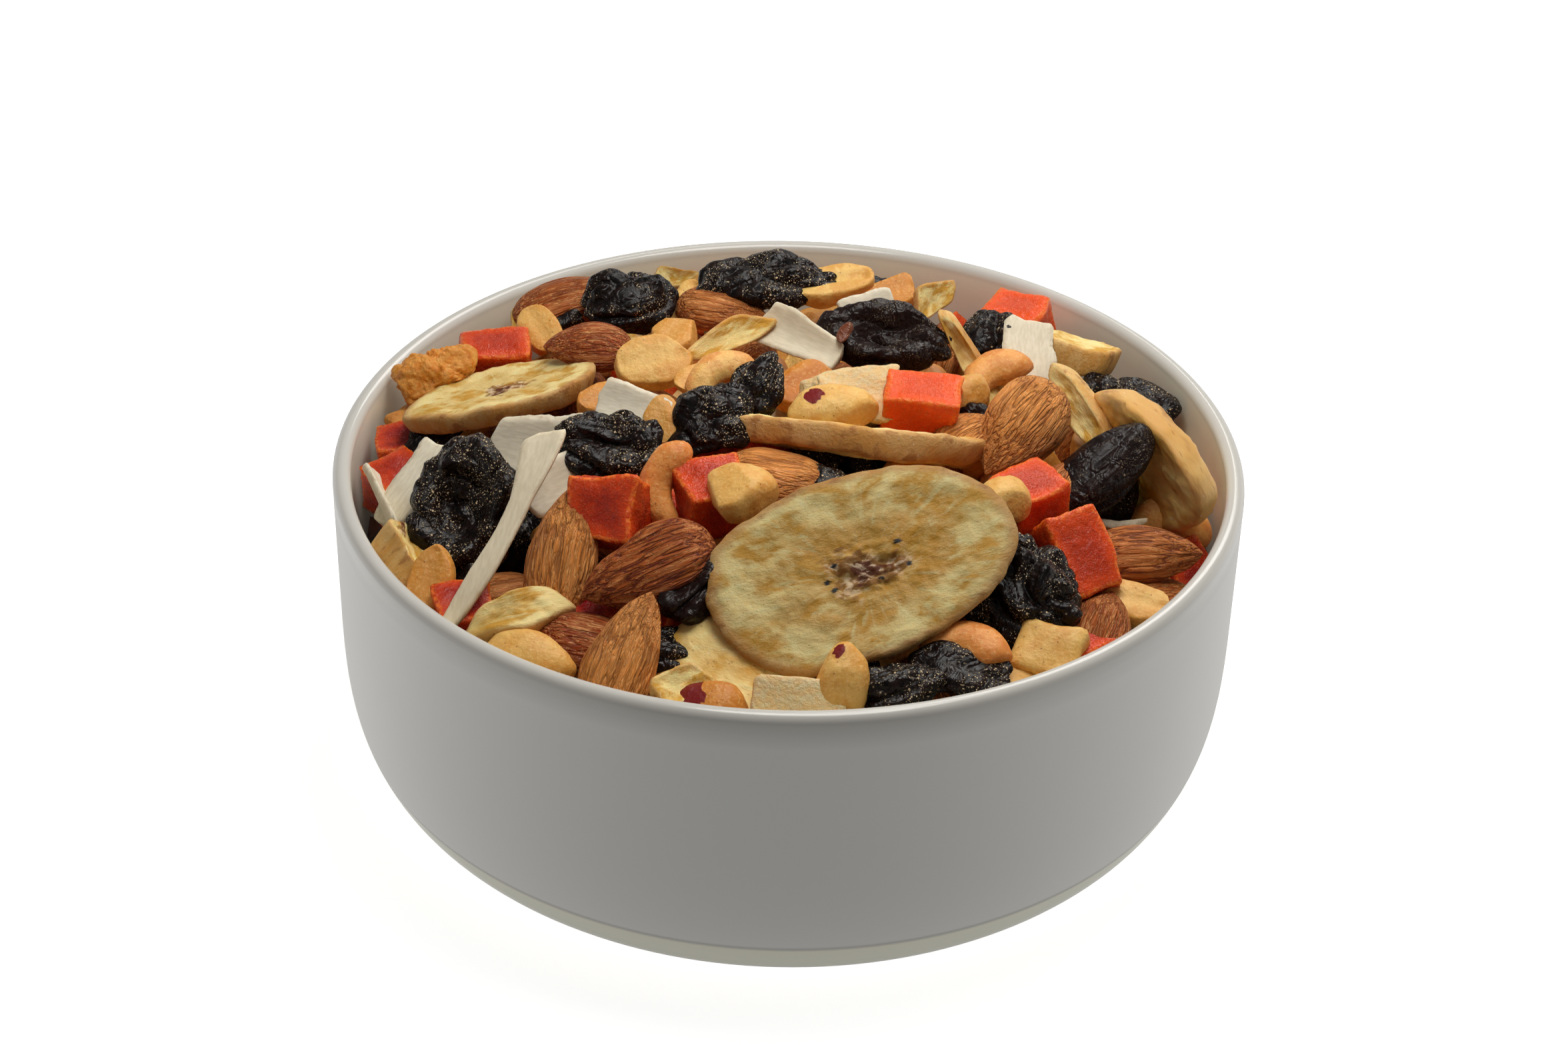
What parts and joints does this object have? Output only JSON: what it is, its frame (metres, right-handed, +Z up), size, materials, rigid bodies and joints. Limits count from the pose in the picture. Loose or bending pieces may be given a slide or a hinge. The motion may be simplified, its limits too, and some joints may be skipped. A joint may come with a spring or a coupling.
{
  "type": "bowl of trail mix",
  "caption": "Round white stoneware bowl with straight sides and a rounded foot, heaped with nuts, raisins, banana chips, papaya cubes and coconut flakes.",
  "frame": {"origin": "middle of the bowl's foot ring, on the surface that it stands on", "axes": "+Z up along the bowl's axis, -Y towards the side that the picture shows"},
  "size_m": [0.1506, 0.1506, 0.0707],
  "materials": {
    "stoneware": "white satin glaze with a glossy lip",
    "nuts_and_fruit": "mixed dried fruit and nuts, matte to satin",
    "banana_chip": "dry, pale yellow with browned edges",
    "almond_skin": "dry ridged brown skin",
    "raisin": "dark, wrinkled, satin",
    "papaya": "sugared, slightly translucent",
    "coconut": "dry, white",
    "peanut": "roasted, satin"
  },
  "bodies": {
    "root": {"bowl": "stoneware", "trail_mix": "nuts_and_fruit"}
  },
  "joints": []
}
